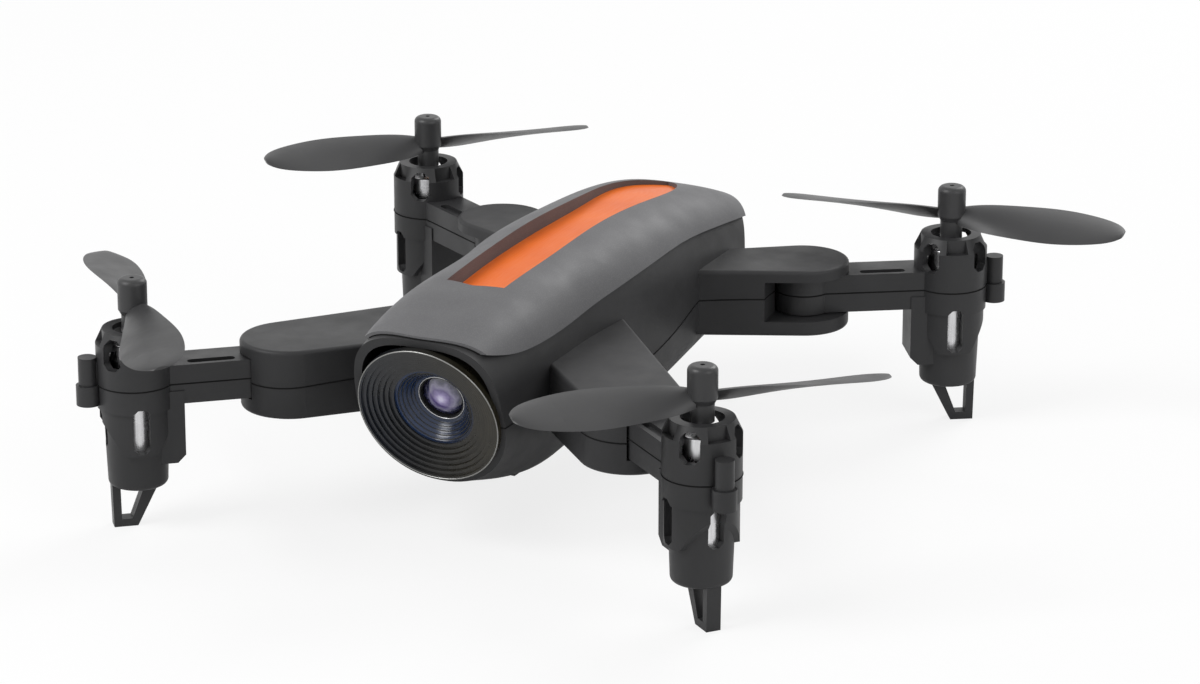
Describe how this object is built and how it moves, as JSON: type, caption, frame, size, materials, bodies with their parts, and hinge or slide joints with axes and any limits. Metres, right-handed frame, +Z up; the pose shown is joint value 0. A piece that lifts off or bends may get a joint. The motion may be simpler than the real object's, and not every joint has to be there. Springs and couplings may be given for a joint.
{
  "type": "mini palm drone",
  "caption": "Palm-size folding quadcopter: camera nose, grey canopy over black shells, folding arms with motor pods, two-blade propellers and wire-loop legs.",
  "frame": {"origin": "on the flat land of the belly, midway between the front and rear motors, on the centre plane; the feet are 9 mm below it", "axes": "+Z up, -Y the way the drone flies, +X the drone's left"},
  "size_m": [0.1377, 0.136, 0.0379],
  "materials": {
    "canopy_grey": "matte moulded plastic, fine sparkle grain",
    "shell_black": "satin moulded plastic",
    "arm_black": "satin moulded plastic",
    "prop_black": "thin flexible moulded plastic",
    "orange_inlay": "bare printed film, no lettering",
    "bezel_black": "glossy turned steps",
    "lens_glass": "coated glass",
    "barrel_black": "matte black",
    "motor_silver": "bright drawn steel can",
    "cap_white": "nylon end cap",
    "rotor_copper": "enamelled copper coil on a steel shaft",
    "screw_steel": "blackened steel",
    "pin_steel": "ground steel",
    "board_green": "solder mask over glass-epoxy",
    "chip_black": "moulded epoxy",
    "battery_foil": "foil pouch",
    "foam_grey": "closed-cell foam",
    "switch_metal": "pressed steel cover"
  },
  "bodies": {
    "airframe": {"canopy": "canopy_grey", "top_inlay": "orange_inlay", "middle_shell": "shell_black", "belly_shell": "shell_black", "nose_bezel": "bezel_black", "lens_cone": "barrel_black", "camera_barrel": "barrel_black", "front_lens": "lens_glass", "inner_lens": "lens_glass", "camera_board": "board_green", "battery_cell": "battery_foil", "battery_pad": "foam_grey", "battery_hatch": "shell_black", "hatch_screw": "screw_steel", "main_board": "board_green", "board_screws": "screw_steel", "flight_chip": "chip_black", "motor_drivers": "chip_black", "tact_switch": "switch_metal", "hinge_pins": "pin_steel", "body_screws": "screw_steel"},
    "button": {"power_button": "shell_black"},
    "arm_fl": {"arm_upper_shell_fl": "arm_black", "arm_lower_shell_fl": "arm_black", "arm_screw_fl": "screw_steel", "motor_can_fl": "motor_silver", "motor_end_cap_fl": "cap_white"},
    "rotor_fl": {"motor_rotor_fl": "rotor_copper"},
    "prop_fl": {"propeller_fl": "prop_black"},
    "arm_fr": {"arm_upper_shell_fr": "arm_black", "arm_lower_shell_fr": "arm_black", "arm_screw_fr": "screw_steel", "motor_can_fr": "motor_silver", "motor_end_cap_fr": "cap_white"},
    "rotor_fr": {"motor_rotor_fr": "rotor_copper"},
    "prop_fr": {"propeller_fr": "prop_black"},
    "arm_rl": {"arm_upper_shell_rl": "arm_black", "arm_lower_shell_rl": "arm_black", "arm_screw_rl": "screw_steel", "motor_can_rl": "motor_silver", "motor_end_cap_rl": "cap_white"},
    "rotor_rl": {"motor_rotor_rl": "rotor_copper", "propeller_rl": "prop_black"},
    "arm_rr": {"arm_upper_shell_rr": "arm_black", "arm_lower_shell_rr": "arm_black", "arm_screw_rr": "screw_steel", "motor_can_rr": "motor_silver", "motor_end_cap_rr": "cap_white"},
    "rotor_rr": {"motor_rotor_rr": "rotor_copper"},
    "prop_rr": {"propeller_rr": "prop_black"}
  },
  "joints": [
    {"name": "power_button_press", "type": "slide", "parent": "airframe", "child": "button", "axis": [0, -1, 0], "range_m": [0, 0.0006], "stiffness_N_per_m": 800, "springref_m": -0.0002},
    {"name": "front_left_arm_fold", "type": "hinge", "parent": "airframe", "child": "arm_fl", "pos_m": [0.0273, -0.032, 0.013], "axis": [0, 0, 1], "range_deg": [0, 118]},
    {"name": "front_left_propeller_spin", "type": "hinge", "parent": "arm_fl", "child": "rotor_fl", "pos_m": [0.04497, -0.04657, 0.024], "axis": [0, 0, 1], "continuous": true},
    {"name": "front_left_propeller_park", "type": "hinge", "parent": "rotor_fl", "child": "prop_fl", "pos_m": [0.04497, -0.04657, 0.024], "axis": [0, 0, 1], "range_deg": [-95.5, 0.5]},
    {"name": "front_right_arm_fold", "type": "hinge", "parent": "airframe", "child": "arm_fr", "pos_m": [-0.0273, -0.032, 0.013], "axis": [0, 0, -1], "range_deg": [0, 118]},
    {"name": "front_right_propeller_spin", "type": "hinge", "parent": "arm_fr", "child": "rotor_fr", "pos_m": [-0.04497, -0.04657, 0.024], "axis": [0, 0, 1], "continuous": true},
    {"name": "front_right_propeller_park", "type": "hinge", "parent": "rotor_fr", "child": "prop_fr", "pos_m": [-0.04497, -0.04657, 0.024], "axis": [0, 0, -1], "range_deg": [-102.5, 0.5]},
    {"name": "rear_left_arm_fold", "type": "hinge", "parent": "airframe", "child": "arm_rl", "pos_m": [0.0258, 0.0344, 0.013], "axis": [0, 0, -1], "range_deg": [0, 116]},
    {"name": "rear_left_propeller_spin", "type": "hinge", "parent": "arm_rl", "child": "rotor_rl", "pos_m": [0.04518, 0.0466, 0.024], "axis": [0, 0, 1], "continuous": true},
    {"name": "rear_right_arm_fold", "type": "hinge", "parent": "airframe", "child": "arm_rr", "pos_m": [-0.0258, 0.0344, 0.013], "axis": [0, 0, 1], "range_deg": [0, 116]},
    {"name": "rear_right_propeller_spin", "type": "hinge", "parent": "arm_rr", "child": "rotor_rr", "pos_m": [-0.04518, 0.0466, 0.024], "axis": [0, 0, 1], "continuous": true},
    {"name": "rear_right_propeller_park", "type": "hinge", "parent": "rotor_rr", "child": "prop_rr", "pos_m": [-0.04518, 0.0466, 0.024], "axis": [0, 0, 1], "range_deg": [-50, 0.5]}
  ],
  "couplings": [
    {"joint": "front_left_propeller_park", "follows": "front_left_arm_fold", "ratio": -0.80508},
    {"joint": "front_right_propeller_park", "follows": "front_right_arm_fold", "ratio": -0.86441},
    {"joint": "rear_right_propeller_park", "follows": "rear_right_arm_fold", "ratio": -0.42672}
  ]
}
